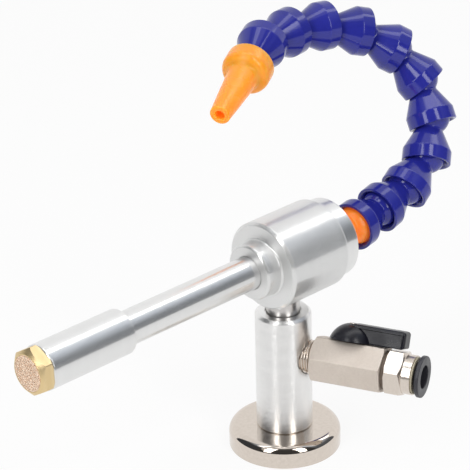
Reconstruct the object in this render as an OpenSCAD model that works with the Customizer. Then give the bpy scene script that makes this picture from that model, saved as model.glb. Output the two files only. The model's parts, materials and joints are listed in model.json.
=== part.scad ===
// Vortex tube cold-air gun on a magnet base. Millimetres, +Z up.
// The origin is the middle of the magnet base's underside. +X runs along the vortex tube to the cold end.

/* [Magnet base] */
// Diameter of the steel pot
base_d = 40; // [32:0.5:60]
// Height of the pot
base_h = 8.2; // [7:0.1:14]
// Radius of the pot's rounded top edge
base_round = 2; // [0.5:0.1:2.5]
// Side wall of the pot
pot_wall = 3; // [2:0.1:5]
// Roof of the pot above the magnet
pot_roof = 2.8; // [2:0.1:4]
// How far the magnet's face lies above the pot's rim
magnet_recess = 0.2; // [0.1:0.05:0.5]
// Bore of the ring magnet
magnet_bore = 14; // [12:0.5:18]
// Shank diameter of the base screw
base_screw_d = 6; // [4:0.5:8]
// Length of the base screw's shank
base_screw_len = 14; // [10:0.5:18]

/* [Column] */
// Diameter of the column
column_d = 20; // [18:0.5:30]
// Height of the column above the base
column_len = 44.8; // [38:0.1:70]
// Chamfer round the column's top
column_chamfer = 1; // [0.3:0.1:2]
// Diameter of the neck that screws into the housing
neck_d = 12; // [10:0.1:14]
// Bare length of the neck between column and housing
neck_len = 4.3; // [1:0.1:10]
// Length of the neck inside the housing
neck_grip = 3.4; // [2:0.1:3.8]
// Air bore of the column
column_bore = 7; // [4:0.1:8]
// Height of the inlet port above the base
port_rise = 28; // [24:0.1:34]
// How deep the inlet thread reaches into the column
port_depth = 6; // [4:0.1:7]

/* [Generator housing] */
// Diameter of the housing
body_d = 32; // [30:0.5:44]
// Length of the housing's drum
body_len = 27.2; // [25:0.1:40]
// Distance of the drum's front face ahead of the column's axis
body_front = 10; // [9:0.1:14]
// Chamfer round the drum's front
body_chamfer = 1.5; // [0.5:0.1:2.5]
// Diameter of the front boss
boss_d = 20; // [17:0.5:26]
// Length of the front boss
boss_len = 6.4; // [3:0.1:12]
// Chamfer of the front boss
boss_chamfer = 0.7; // [0.3:0.1:1.5]
// Thickness of the drum's front wall
front_wall = 6; // [4:0.1:7]
// Bore of the air chamber
chamber_d = 24; // [22:0.5:26]

/* [Rear cap] */
// Diameter of the rear cap
cap_d = 28.8; // [27:0.1:30]
// Length of the rear cap behind the drum
cap_len = 6.4; // [4:0.1:10]
// Length of the cap's spigot inside the drum
spigot_len = 5.2; // [4:0.1:6]
// Thread diameter of the hose adaptor
adaptor_thread_d = 13.2; // [12:0.1:15]
// Depth of the adaptor's thread in the cap
adaptor_grip = 7; // [5:0.1:8]
// Section diameter of the cap's O-ring
cap_ring_d = 1.8; // [1.2:0.1:2.2]

/* [Swirl generator] */
// Diameter of the nozzle ring
swirl_d = 16; // [13:0.5:19]
// Thickness of the generator's flange
swirl_flange = 3; // [2:0.1:5]
// Number of tangential nozzles
swirl_nozzles = 6; // [3:1:8]
// Width of a nozzle slot
nozzle_w = 1.2; // [0.6:0.1:1.8]
// Length of a nozzle slot along the axis
nozzle_len = 4; // [2:0.1:5]
// Cold orifice diameter
orifice_d = 4.8; // [3:0.1:6]
// Length of the vortex chamber
vortex_len = 6; // [5.5:0.1:7]

/* [Hot tube] */
// Outside diameter of the hot tube
tube_d = 12; // [10:0.1:14]
// Inside diameter of the hot tube
tube_bore = 9.5; // [7:0.1:9.6]
// Bare length of the tube between boss and muffler sleeve
tube_bare = 58.6; // [30:0.1:120]

/* [Muffler] */
// Diameter of the muffler sleeve
sleeve_d = 16; // [15.5:0.1:22]
// Length of the muffler sleeve
sleeve_len = 35.2; // [33:0.1:60]
// Length of the tube inside the sleeve
sleeve_grip = 15; // [8:0.1:16]
// Edge chamfer of the sleeve
sleeve_chamfer = 0.5; // [0.2:0.1:1]
// Thread diameter of the sleeve's open end
sleeve_thread_d = 13; // [12:0.1:13.4]
// Thickness of the valve seat in the sleeve
seat_lip = 1.5; // [1:0.1:3]
// Thickness of the control cone's threaded disc
cone_disc = 3.6; // [2:0.1:5]
// Length of the control cone's point
cone_len = 5; // [3:0.1:5.5]
// Travel of the control cone each way
cone_travel = 1.5; // [0.5:0.1:2]
// Across flats of the silencer's hexagon
silencer_af = 15; // [13.6:0.1:19]
// Length of the silencer's hexagon
silencer_len = 4.8; // [3:0.1:8]
// Turn of the silencer's hexagon about the tube's axis
silencer_turn = 28; // [0:1:59]
// Length of the silencer's thread
silencer_grip = 6.2; // [4:0.1:7]
// Diameter of the sintered disc
disc_d = 12.5; // [10:0.1:12.8]
// Thickness of the sintered disc
disc_h = 1.9; // [1.5:0.1:2.5]
// How far the sintered disc stands proud
disc_proud = 0.4; // [0:0.1:0.6]

/* [Hose] */
// Outside diameter of a link's collar
link_d = 18; // [16.6:0.1:20]
// Distance between the ball centres of one link
link_pitch = 14.8; // [14.6:0.1:17]
// Length of the collar
collar_len = 4.65; // [4:0.05:5.2]
// Ball diameter
ball_d = 13.8; // [13:0.1:14]
// Depth of the socket's centre behind its mouth
mouth_depth = 3.2; // [2.8:0.05:3.3]
// Depth of the snap lip in front of the socket's centre
lip_depth = 1.8; // [1.2:0.05:2]
// Wall left at the mouth's rim
rim_wall = 0.6; // [0.4:0.05:0.8]
// Waist diameter behind the ball
waist_d = 9.6; // [9:0.1:10]
// Distance from the ball's centre to the end of the cone
waist_reach = 5.6; // [5.2:0.05:6]
// Distance from the ball's centre to its cut end
ball_cut = 4.6; // [4:0.1:5]
// Bore of the hose
hose_bore = 6.4; // [4:0.1:7]
// Distance from the rear cap to the adaptor's ball centre
adaptor_reach = 14.4; // [13:0.1:24]
// Diameter of the adaptor's shoulder
adaptor_d = 15.6; // [14:0.1:20]
// Length of the adaptor's shoulder
adaptor_shoulder = 3; // [2:0.1:5]
// Lean of the hose's bending plane about the tube's axis, away from upright
hose_lean = 39; // [0:1:60]
// Rise of each link from the tube's axis, in the bending plane, from the first link to the nozzle
hose_rise = [8, 12, 29, 56, 81, 108, 132, 151, 171, 185, 206, 206]; // [0:1:240]
// Turn of each link out of the bending plane, from the first link to the nozzle
hose_side = [-1, 5, 12, 10, 5, 0, -7, -11, -6, 5, 11, 10]; // [-20:1:20]

/* [Nozzle] */
// Diameter of the nozzle's cup
cup_d = 17.6; // [17:0.1:21]
// Length of the nozzle's cup behind the socket's centre
cup_len = 2; // [1.6:0.1:6]
// Diameter of the nozzle's cone at its root
spout_root_d = 11.2; // [10.8:0.1:12]
// Diameter of the nozzle's tip
spout_tip_d = 7.3; // [5:0.1:8.5]
// Distance from the socket's centre to the nozzle's tip
spout_reach = 28.7; // [18:0.1:50]
// Outlet hole of the nozzle
outlet_d = 3.5; // [1.5:0.1:4.5]

/* [Ball valve] */
// Turn of the valve about the column, from the cold end's direction
valve_turn = -67; // [-90:1:-40]
// Lean of the valve's stem away from upright
valve_lean = 24; // [0:1:40]
// Across flats of the valve's hexagon
valve_af = 15.4; // [14.6:0.1:19]
// Length of the valve's hexagon
valve_len = 26.1; // [25.4:0.1:34]
// Distance of the stem from the hexagon's inlet end
stem_back = 12.4; // [10:0.1:13]
// Bare length of the inlet thread between column and valve
inlet_bare = 2.2; // [2:0.1:8]
// Diameter of the inlet thread
inlet_d = 12; // [10:0.1:13]
// Depth of the thread's grooves
thread_depth = 0.5; // [0.2:0.05:0.8]
// Pitch of the thread
thread_pitch = 1; // [0.8:0.05:1.5]
// Flow bore of the valve
valve_bore = 6; // [4:0.1:6.4]
// Diameter of the valve's ball
valve_ball_d = 10; // [9.4:0.1:10.4]
// Bore of the valve's ball chamber
valve_chamber_d = 11.2; // [11:0.1:11.6]
// Length of a seat ring
seat_len = 3.2; // [2.4:0.1:3.4]
// Length of the seat retainer
retainer_len = 2; // [1:0.1:3]
// Diameter of the stem
stem_d = 4; // [3:0.1:4.4]

/* [Lever] */
// Gap between lever and valve
lever_gap = 0.5; // [0.3:0.1:2]
// Height of the lever
lever_h = 6.2; // [4.5:0.1:9]
// Diameter of the lever's domed hub
hub_d = 16; // [13:0.1:20]
// Reach of the lever from the stem's axis
lever_reach = 20.2; // [14:0.1:40]
// Width of the lever's arm
arm_w = 7; // [5:0.1:10]
// Corner radius of the lever's arm
arm_round = 1.5; // [0.5:0.1:2.4]
// Depth of the panel in each side of the arm
panel_depth = 0.5; // [0.2:0.05:0.9]
// Rim round the panel
panel_rim = 0.9; // [0.5:0.1:1.6]

/* [Tube fitting] */
// Diameter of the tube that pushes in
hose_tube_d = 8; // [6:0.5:8]
// Thickness of the sealing washer
washer_h = 1.2; // [0.6:0.1:2]
// Diameter of the washer and the collar beside it
fitting_collar_d = 13.6; // [12.6:0.1:14.6]
// Length of the collar
fitting_collar = 1; // [0.5:0.1:3]
// Across flats of the fitting's hexagon
fitting_af = 15; // [14:0.1:19]
// Length of the fitting's hexagon
fitting_hex = 5.5; // [4:0.1:10]
// Diameter of the shoulder behind the hexagon
fitting_shoulder_d = 14; // [13:0.1:14.8]
// Length of the shoulder
fitting_shoulder = 2.5; // [2:0.1:5]
// Diameter of the guide ring's flange
guide_d = 13.2; // [12.2:0.1:14]
// Thickness of the guide ring's flange
guide_h = 1.4; // [0.8:0.1:3]
// Diameter of the release ring
release_d = 14.8; // [13:0.1:17]
// Thickness of the release ring
release_h = 1.5; // [1:0.1:4]
// Travel of the release ring
release_travel = 1; // [0.5:0.1:1.5]

/* [Clearances] */
// Radial clearance of parts that turn, slide or screw together
fit = 0.05; // [0.02:0.01:0.1]
// End clearance of parts that move
play = 0.1; // [0.05:0.01:0.2]

/* [Hidden] */
$fn = 96;
arc_steps = 6;
eps = 0.01;
over = 1;
edge = 0.4;

axis_z = base_h + column_len + neck_len + body_d / 2;
port_z = base_h + port_rise;
pot_floor = base_h - pot_roof;
screw_head_d = base_screw_d * 1.7;
screw_head_h = base_screw_d * 0.75;
screw_socket_af = base_screw_d * 0.8;
screw_socket_h = base_screw_d * 0.4;
screw_hole_spare = 2;

drum_back = body_len - body_front;
boss_front = -body_front - boss_len;
chamber_front = -body_front + front_wall;
spigot_front = drum_back - spigot_len;
cap_back = drum_back + cap_len;
flange_front = spigot_front - swirl_flange;
ring_centre = drum_back - spigot_len / 2;
groove_w = cap_ring_d + 4 * fit;
groove_bottom_d = chamber_d - 2 * cap_ring_d;
ring_mean_d = chamber_d - cap_ring_d;

sleeve_back = boss_front - tube_bare;
sleeve_front = sleeve_back - sleeve_len;
tube_front = sleeve_back - sleeve_grip;
cone_front = tube_front - seat_lip - play;
cone_disc_back = cone_front - cone_len;
cone_root_d = tube_bore - 2 * edge;
cone_point_d = tube_bore / 3;
cone_holes = 6;
cone_hole_d = 1.8;
cone_hole_ring = cone_root_d + cone_hole_d + 2 * fit;
cone_slot_w = 1.2;
cone_slot_h = 1;
silencer_bore = disc_d - 3;
hex_chamfer_angle = 30;

adaptor_ball_x = cap_back + adaptor_reach;
socket_d = ball_d + 2 * fit;
lip_d = 2 * sqrt(pow(socket_d / 2, 2) - pow(lip_depth, 2));
flare_over = 0.2;
cup_shoulder = (cup_d - spout_root_d) / 2;
link_count = 11;

inlet_front = column_d / 2 - port_depth;
valve_back = column_d / 2 + inlet_bare;
valve_front = valve_back + valve_len;
stem_v = valve_back + stem_back;
seat_back = stem_v - valve_ball_d / 2 - seat_len / 2;
seat_front = stem_v + valve_ball_d / 2 + seat_len / 2;
retainer_front = seat_front + retainer_len;
stem_flange_d = stem_d * 1.4;
stem_flange_h = 0.6;
stem_pocket = valve_chamber_d / 2 + 3 * play;
stem_gland_d = stem_d * 1.5;
stem_gland_h = 0.9;
tang_w = 1.5;
tang_h = 1.4;
drive_w = stem_d * 0.7;
lever_foot = valve_af / 2 + lever_gap;
lever_top = lever_foot + lever_h;
lever_web = 0.4;
lever_screw_d = stem_d * 0.4;
lever_head_d = stem_d * 0.9;
lever_head_h = 1.2;
drive_top = lever_top - lever_head_h - lever_web - play;
hub_sphere_r = (pow(hub_d / 2, 2) + pow(lever_h, 2)) / (2 * lever_h);

washer_front = valve_front + washer_h;
fitting_hex_back = washer_front + fitting_collar;
fitting_hex_front = fitting_hex_back + fitting_hex;
shoulder_front = fitting_hex_front + fitting_shoulder;
guide_front = shoulder_front + guide_h;
release_back = guide_front + release_travel + play;
release_front = release_back + release_h;
socket_bore = hose_tube_d + 4 * fit;
release_sleeve_d = socket_bore + 1.2;
guide_bore = release_sleeve_d + 2 * fit;
fitting_chamber_d = guide_bore + 1.7;
tube_stop = fitting_hex_back - fitting_collar / 2;
tube_ring_d = (fitting_chamber_d - socket_bore) / 2 - 2 * fit;
tube_ring_mean = (fitting_chamber_d + socket_bore) / 2;
fitting_chamber_back = fitting_hex_back + edge;
claw_back = fitting_chamber_back + tube_ring_d + 4 * fit;
claw_h = 0.8;
claw_teeth = 8;
claw_slot = 0.7;
guide_back = claw_back + claw_h + fit;
release_sleeve_back = guide_back + release_travel + play;

// Points of an arc about a centre, from one angle to another
function arc(centre, r, from, to) =
    [for (i = [0 : arc_steps]) let (a = from + (to - from) * i / arc_steps) centre + r * [cos(a), sin(a)]];

// Corner diameter of a hexagon with the given size across its flats
function across_corners(af) = af / cos(30);

// Direction of a hose link, counted from 0, and the place of its socket's centre
function link_dir(i) =
    let (rise = hose_rise[i], side = hose_side[i])
    let (up = [0, sin(hose_lean), cos(hose_lean)], out = [0, -cos(hose_lean), sin(hose_lean)])
    cos(side) * (cos(rise) * [1, 0, 0] + sin(rise) * up) + sin(side) * out;
function link_place(i) =
    i == 0 ? [adaptor_ball_x, 0, axis_z] : link_place(i - 1) + link_pitch * link_dir(i - 1);

// A turned piece from its outline, given as radius and height
module turned(outline) rotate_extrude() polygon(outline);

// A plain round bore or pin between two heights
module round_bar(d, from, to) translate([0, 0, from]) cylinder(d = d, h = to - from);

// A torus about the axis at one height
module o_ring(mean_d, section_d, at)
    translate([0, 0, at]) rotate_extrude() translate([mean_d / 2, 0]) circle(d = section_d);

// A hexagon bar with both ends chamfered, one flat towards the local x axis
module hex_bar(af, from, to) {
    land = af / 2 - edge;
    clear = across_corners(af) / 2 + edge;
    drop = (clear - land) * tan(hex_chamfer_angle);
    intersection() {
        rotate([0, 0, 30]) translate([0, 0, from]) cylinder(d = across_corners(af), h = to - from, $fn = 6);
        turned([[0, from], [land, from], [clear, from + drop], [clear, to - drop], [land, to], [0, to]]);
    }
}

// Local frames: z runs along the vortex tube, along the inlet valve, or along a hose link
module on_tube_axis() translate([0, 0, axis_z]) rotate([0, 90, 0]) children();
module on_valve_axis()
    translate([0, 0, port_z]) rotate([0, 0, valve_turn])
        rotate([0, 90, 0]) rotate([0, 0, 180 - valve_lean]) children();
module on_link(i) {
    d = link_dir(i);
    translate(link_place(i)) rotate([0, acos(d.z), atan2(d.y, d.x)]) children();
}
// Within the valve's frame: z along the stem, its origin at the ball's centre
module on_stem() translate([0, 0, stem_v]) rotate([0, 90, 0]) children();

// Steel pot with a rounded top edge, open below for the magnet
module magnet_cup() color("gainsboro") {
    r = base_d / 2;
    difference() {
        turned(concat([[0, pot_floor], [r - pot_wall, pot_floor], [r - pot_wall, 0]],
                      [[r - edge, 0], [r, edge]],
                      arc([r - base_round, base_h - base_round], base_round, 0, 90), [[0, base_h]]));
        round_bar(base_screw_d + 2 * fit, pot_floor - eps, base_h + eps);
    }
}

// Ring magnet in the pot
module ring_magnet() color("dimgray") difference() {
    round_bar(base_d - 2 * pot_wall - 2 * fit, magnet_recess, pot_floor);
    round_bar(magnet_bore, magnet_recess - eps, pot_floor + eps);
}

// Screw that holds the pot to the column, with a hexagon socket
module base_screw() color("slategray") difference() {
    union() {
        round_bar(screw_head_d, pot_floor - screw_head_h, pot_floor);
        round_bar(base_screw_d, pot_floor - eps, pot_floor + base_screw_len);
    }
    translate([0, 0, pot_floor - screw_head_h - eps])
        cylinder(d = across_corners(screw_socket_af), h = screw_socket_h, $fn = 6);
}

// Turned column with a chamfered top, a neck, an air bore and the side port
module column() color("silver") {
    r = column_d / 2;
    top = base_h + column_len;
    neck_top = axis_z - body_d / 2 + neck_grip;
    difference() {
        turned([[0, base_h], [r, base_h], [r, top - column_chamfer], [r - column_chamfer, top],
                [neck_d / 2, top], [neck_d / 2, neck_top - edge], [neck_d / 2 - edge, neck_top],
                [0, neck_top]]);
        round_bar(base_screw_d + 2 * fit, base_h - eps, pot_floor + base_screw_len + screw_hole_spare);
        round_bar(column_bore, port_z - column_bore / 2, neck_top + eps);
        on_valve_axis() round_bar(inlet_d + 2 * fit, inlet_front - fit, column_d);
    }
}

// Drum and front boss of the housing, with the tube bore, the air chamber and the neck's port
module generator_housing() color("silver") difference() {
    r = body_d / 2;
    on_tube_axis() turned([
        [tube_d / 2 + fit + edge, boss_front], [boss_d / 2 - boss_chamfer, boss_front],
        [boss_d / 2, boss_front + boss_chamfer], [boss_d / 2, -body_front], [r - body_chamfer, -body_front],
        [r, body_chamfer - body_front], [r, drum_back], [chamber_d / 2 + fit, drum_back],
        [chamber_d / 2 + fit, chamber_front], [tube_d / 2 + fit, chamber_front],
        [tube_d / 2 + fit, boss_front + edge]
    ]);
    round_bar(neck_d + 2 * fit, axis_z - r - eps, axis_z - chamber_d / 2 + over);
}

// Nozzle ring, cold orifice and flange of the swirl generator
module swirl_generator() color("tan") on_tube_axis() difference() {
    turned([[tube_bore / 2, chamber_front], [swirl_d / 2, chamber_front], [swirl_d / 2, flange_front],
            [chamber_d / 2, flange_front], [chamber_d / 2, spigot_front], [hose_bore / 2, spigot_front],
            [orifice_d / 2, chamber_front + vortex_len + over], [orifice_d / 2, chamber_front + vortex_len],
            [tube_bore / 2, chamber_front + vortex_len]]);
    for (i = [0 : swirl_nozzles - 1])
        rotate([0, 0, i * 360 / swirl_nozzles])
            translate([0, tube_bore / 2 - nozzle_w - fit, chamber_front - eps])
                cube([swirl_d, nozzle_w, nozzle_len]);
}

// Rear cap with its spigot, O-ring groove and adaptor thread
module rear_cap() color("silver") on_tube_axis() difference() {
    turned([[hose_bore / 2, spigot_front], [chamber_d / 2, spigot_front],
            [chamber_d / 2, drum_back], [cap_d / 2, drum_back], [cap_d / 2, cap_back - edge],
            [cap_d / 2 - edge, cap_back], [adaptor_thread_d / 2 + fit, cap_back],
            [adaptor_thread_d / 2 + fit, cap_back - adaptor_grip - play],
            [hose_bore / 2, cap_back - adaptor_grip - play]]);
    difference() {
        round_bar(cap_d, ring_centre - groove_w / 2, ring_centre + groove_w / 2);
        round_bar(groove_bottom_d, ring_centre - groove_w, ring_centre + groove_w);
    }
}

// O-ring in the cap's groove
module cap_o_ring() color("black") on_tube_axis() o_ring(ring_mean_d, cap_ring_d - 2 * fit, ring_centre);

// Plain hot tube from the generator to the muffler
module hot_tube() color("silver") on_tube_axis() difference() {
    round_bar(tube_d, tube_front, chamber_front);
    round_bar(tube_bore, tube_front - eps, chamber_front + eps);
}

// Sleeve over the tube's end, with the hot valve's seat and the silencer's thread
module muffler_sleeve() color("silver") on_tube_axis() {
    r = sleeve_d / 2;
    seat_front = tube_front - seat_lip;
    turned([[tube_d / 2 + fit, sleeve_back], [r - sleeve_chamfer, sleeve_back],
            [r, sleeve_back - sleeve_chamfer], [r, sleeve_front + sleeve_chamfer],
            [r - sleeve_chamfer, sleeve_front], [sleeve_thread_d / 2, sleeve_front],
            [sleeve_thread_d / 2, seat_front], [tube_bore / 2, seat_front],
            [tube_bore / 2, tube_front], [tube_d / 2 + fit, tube_front]]);
}

// Hot-end control cone on a threaded disc with air holes and a screwdriver slot
module control_cone() color("goldenrod") on_tube_axis() difference() {
    disc_front = cone_disc_back - cone_disc;
    r = sleeve_thread_d / 2 - fit;
    turned([[0, disc_front], [r, disc_front], [r, cone_disc_back],
            [cone_root_d / 2, cone_disc_back], [cone_point_d / 2, cone_front], [0, cone_front]]);
    for (i = [0 : cone_holes - 1])
        rotate([0, 0, i * 360 / cone_holes]) translate([cone_hole_ring / 2, 0, 0])
            round_bar(cone_hole_d, disc_front - eps, cone_disc_back + eps);
    translate([-cone_root_d / 2, -cone_slot_w / 2, disc_front - eps])
        cube([cone_root_d, cone_slot_w, cone_slot_h]);
}

// Brass hexagon of the silencer, with its thread and the disc's seat
module silencer_body() color("gold") on_tube_axis() difference() {
    hex_front = sleeve_front - silencer_len;
    union() {
        rotate([0, 0, silencer_turn]) hex_bar(silencer_af, hex_front, sleeve_front);
        round_bar(sleeve_thread_d - 2 * fit, sleeve_front - eps, sleeve_front + silencer_grip);
    }
    round_bar(silencer_bore, hex_front - eps, sleeve_front + silencer_grip + eps);
    round_bar(disc_d + 2 * fit, hex_front - eps, hex_front + disc_h - disc_proud);
}

// Sintered bronze disc with a rounded front edge
module silencer_disc() color("peru") on_tube_axis() {
    back = sleeve_front - silencer_len + disc_h - disc_proud;
    front = back - disc_h;
    turned(concat([[0, back], [disc_d / 2, back]],
                  arc([disc_d / 2 - edge, front + edge], edge, 0, -90), [[0, front]]));
}

// Ball of a hose piece about the given height, cut off flat at its end
module hose_ball(at) intersection() {
    translate([0, 0, at]) sphere(d = ball_d);
    round_bar(2 * ball_d, at - ball_d, at + ball_cut);
}

// Room inside a socket of the given outside diameter: the ball's sphere and the flared mouth
module socket_room(outside) {
    lip = [lip_d / 2, -lip_depth];
    flare = [outside / 2 - rim_wall, -mouth_depth] - lip;
    outer = lip + flare * (1 + flare_over);
    inner = lip - flare * flare_over;
    sphere(d = socket_d);
    turned([[0, outer.y], outer, inner, [0, inner.y]]);
}

// Threaded adaptor with the first ball
module hose_adaptor() color("darkorange") on_tube_axis() difference() {
    r = adaptor_d / 2;
    shoulder = cap_back + adaptor_shoulder;
    union() {
        turned([[0, cap_back - adaptor_grip], [adaptor_thread_d / 2, cap_back - adaptor_grip],
                [adaptor_thread_d / 2, cap_back], [r - edge, cap_back], [r, cap_back + edge], [r, shoulder],
                [waist_d / 2, adaptor_ball_x - waist_reach], [waist_d / 2, adaptor_ball_x],
                [0, adaptor_ball_x]]);
        hose_ball(adaptor_ball_x);
    }
    round_bar(hose_bore, 0, adaptor_ball_x + ball_d);
}

// Hose link: collar with the socket, cone, waist and ball
module hose_link(i) color("mediumblue") on_link(i) difference() {
    r = link_d / 2;
    collar_end = collar_len - mouth_depth;
    union() {
        turned([[0, -mouth_depth], [r - edge / 2, -mouth_depth], [r, edge / 2 - mouth_depth],
                [r, collar_end], [waist_d / 2, link_pitch - waist_reach], [waist_d / 2, link_pitch],
                [0, link_pitch]]);
        hose_ball(link_pitch);
    }
    socket_room(link_d);
    round_bar(hose_bore, 0, link_pitch + ball_d);
}

// Nozzle: cup with the last socket, a rounded shoulder and a conical spout
module nozzle() color("orange") on_link(link_count) difference() {
    r = cup_d / 2;
    root = cup_len + cup_shoulder;
    turned(concat([[0, -mouth_depth], [r - edge / 2, -mouth_depth], [r, edge / 2 - mouth_depth]],
                  arc([r - cup_shoulder, cup_len], cup_shoulder, 0, 90),
                  [[spout_tip_d / 2, spout_reach - edge], [spout_tip_d / 2 - edge, spout_reach],
                   [0, spout_reach]]));
    socket_room(cup_d);
    turned([[0, 0], [hose_bore / 2, 0], [hose_bore / 2, root], [outlet_d / 2, spout_reach - outlet_d],
            [outlet_d / 2, spout_reach + eps], [0, spout_reach + eps]]);
}

// Hexagon body of the valve with its inlet thread, ball chamber and stem hole
module valve_body() color("tan") on_valve_axis() difference() {
    thread_r = inlet_d / 2;
    thread_from = column_d / 2 + edge;
    thread_turns = floor((valve_back - thread_from) / thread_pitch);
    union() {
        hex_bar(valve_af, valve_back, valve_front);
        turned(concat([[0, inlet_front], [thread_r, inlet_front]],
                      [for (k = [0 : thread_turns - 1], p = [0, 0.5])
                          [thread_r - 2 * p * thread_depth, thread_from + (k + p) * thread_pitch]],
                      [[thread_r, thread_from + thread_turns * thread_pitch], [thread_r, valve_back + over],
                       [0, valve_back + over]]));
    }
    round_bar(valve_bore, inlet_front - eps, valve_front);
    round_bar(valve_chamber_d, seat_back, valve_front + eps);
    on_stem() {
        round_bar(stem_d + 2 * fit, 0, valve_af);
        round_bar(stem_flange_d + 2 * fit, 0, stem_pocket);
        round_bar(stem_gland_d, valve_af / 2 - stem_gland_h, valve_af);
    }
}

// Ring that keeps the seats in the chamber
module valve_retainer() color("goldenrod") on_valve_axis() difference() {
    round_bar(valve_chamber_d - 2 * fit, seat_front, retainer_front);
    round_bar(valve_bore, seat_front - eps, retainer_front + eps);
}

// Bored ball with the stem's slot
module valve_ball() color("lightgray") on_valve_axis() difference() {
    translate([0, 0, stem_v]) sphere(d = valve_ball_d);
    round_bar(valve_bore, stem_v - valve_ball_d, stem_v + valve_ball_d);
    on_stem() translate([-tang_w / 2 - fit, -valve_ball_d / 2, valve_ball_d / 2 - tang_h])
        cube([tang_w + 2 * fit, valve_ball_d, valve_ball_d]);
}

// Seat ring with a hollow for the ball, between two heights
module seat_ring(from, to) color("white") on_valve_axis() difference() {
    round_bar(valve_chamber_d - 2 * fit, from, to);
    round_bar(valve_bore + 2 * fit, from - eps, to + eps);
    translate([0, 0, stem_v]) sphere(d = valve_ball_d + 2 * fit);
}
module seat_inner() seat_ring(seat_back, seat_back + seat_len);
module seat_outer() seat_ring(seat_front - seat_len, seat_front);

// Stem: tang, flange, shaft and square drive with a screw hole
module valve_stem() color("lightgray") on_valve_axis() on_stem() difference() {
    flange_top = stem_pocket - play;
    tang_foot = valve_ball_d / 2 - tang_h + fit;
    union() {
        translate([-tang_w / 2, -stem_d / 2, tang_foot]) cube([tang_w, stem_d, flange_top - tang_foot]);
        round_bar(stem_flange_d, flange_top - stem_flange_h, flange_top);
        round_bar(stem_d, flange_top - eps, lever_foot);
        translate([-drive_w / 2, -drive_w / 2, lever_foot - eps])
            cube([drive_w, drive_w, drive_top - lever_foot]);
    }
    round_bar(lever_screw_d + 2 * fit, valve_af / 2, lever_top);
}

// O-ring round the stem
module stem_o_ring() color("black") on_valve_axis() on_stem()
    o_ring((stem_d + stem_gland_d) / 2, (stem_gland_d - stem_d) / 2 - 4 * fit,
           valve_af / 2 - stem_gland_h / 2);

// Lever: domed hub and a tall arm with a rounded end and a panel in each side
module lever() color("black") on_valve_axis() on_stem() difference() {
    h = lever_h;
    reach = lever_reach;
    union() {
        intersection() {
            translate([0, 0, lever_top - hub_sphere_r]) sphere(r = hub_sphere_r);
            round_bar(3 * hub_d, lever_foot, lever_top + over);
        }
        rotate([0, 0, 180]) translate([0, 0, lever_foot]) difference() {
            intersection() {
                linear_extrude(h) polygon(concat([[0, -arm_w / 2]],
                    arc([reach - arm_round, arm_round - arm_w / 2], arm_round, -90, 0),
                    arc([reach - arm_round, arm_w / 2 - arm_round], arm_round, 0, 90), [[0, arm_w / 2]]));
                translate([0, arm_w, 0]) rotate([90, 0, 0]) linear_extrude(2 * arm_w)
                    polygon(concat([[0, 0], [reach, 0]],
                        arc([reach - arm_round, h - arm_round], arm_round, 0, 90), [[0, h]]));
            }
            for (s = [-1, 1])
                translate([hub_d / 4, s * arm_w / 2 - panel_depth, panel_rim])
                    cube([reach - arm_round - panel_rim - hub_d / 4, 2 * panel_depth, h - 2 * panel_rim]);
        }
    }
    translate([-drive_w / 2 - fit, -drive_w / 2 - fit, lever_foot - eps])
        cube([drive_w + 2 * fit, drive_w + 2 * fit, drive_top - lever_foot + fit]);
    round_bar(lever_screw_d + 2 * fit, lever_foot, lever_top + over);
    round_bar(lever_head_d + 2 * fit, drive_top + lever_web, lever_top + over);
}

// Screw on top of the lever, with a slot
module lever_screw() color("gray") on_valve_axis() on_stem() difference() {
    head_foot = drive_top + lever_web;
    union() {
        round_bar(lever_screw_d, lever_foot, head_foot + eps);
        round_bar(lever_head_d, head_foot, head_foot + lever_head_h);
    }
    translate([-lever_head_d, -lever_screw_d / 6, head_foot + lever_head_h / 2])
        cube([2 * lever_head_d, lever_screw_d / 3, lever_head_h]);
}

// Washer between valve and fitting
module fitting_washer() color("saddlebrown") on_valve_axis() difference() {
    round_bar(fitting_collar_d, valve_front, washer_front);
    round_bar(valve_chamber_d, valve_front - eps, washer_front + eps);
}

// Push-in fitting: thread, collar, hexagon and shoulder, with the tube's socket
module fitting_body() color("tan") on_valve_axis() difference() {
    r = fitting_shoulder_d / 2;
    union() {
        round_bar(valve_chamber_d - 2 * fit, retainer_front + play, washer_front);
        round_bar(fitting_collar_d, washer_front, fitting_hex_back);
        hex_bar(fitting_af, fitting_hex_back, fitting_hex_front);
        turned(concat([[0, fitting_hex_back + over], [r, fitting_hex_back + over]],
                      arc([r - edge, shoulder_front - edge], edge, 0, 90), [[0, shoulder_front]]));
    }
    round_bar(valve_bore, retainer_front, shoulder_front);
    round_bar(socket_bore, tube_stop, shoulder_front + eps);
    round_bar(fitting_chamber_d, fitting_chamber_back, shoulder_front + eps);
}

// O-ring that seals on the tube
module tube_seal() color("black") on_valve_axis()
    o_ring(tube_ring_mean, tube_ring_d, fitting_chamber_back + tube_ring_d / 2 + fit);

// Slotted ring that grips the tube
module lock_claw() color("lightgray") on_valve_axis() difference() {
    round_bar(fitting_chamber_d - 2 * fit, claw_back, claw_back + claw_h);
    round_bar(socket_bore, claw_back - eps, claw_back + claw_h + eps);
    for (i = [0 : claw_teeth - 1])
        rotate([0, 0, i * 360 / claw_teeth]) translate([0, -claw_slot / 2, claw_back - eps])
            cube([release_sleeve_d / 2, claw_slot, claw_h + 2 * eps]);
}

// Guide ring pressed into the fitting, with the flange that shows
module fitting_guide() color("darkkhaki") on_valve_axis()
    turned([[guide_bore / 2, guide_back], [fitting_chamber_d / 2 - fit, guide_back],
            [fitting_chamber_d / 2 - fit, shoulder_front], [guide_d / 2, shoulder_front],
            [guide_d / 2, guide_front - edge / 2], [guide_d / 2 - edge / 2, guide_front],
            [guide_bore / 2, guide_front]]);

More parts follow.
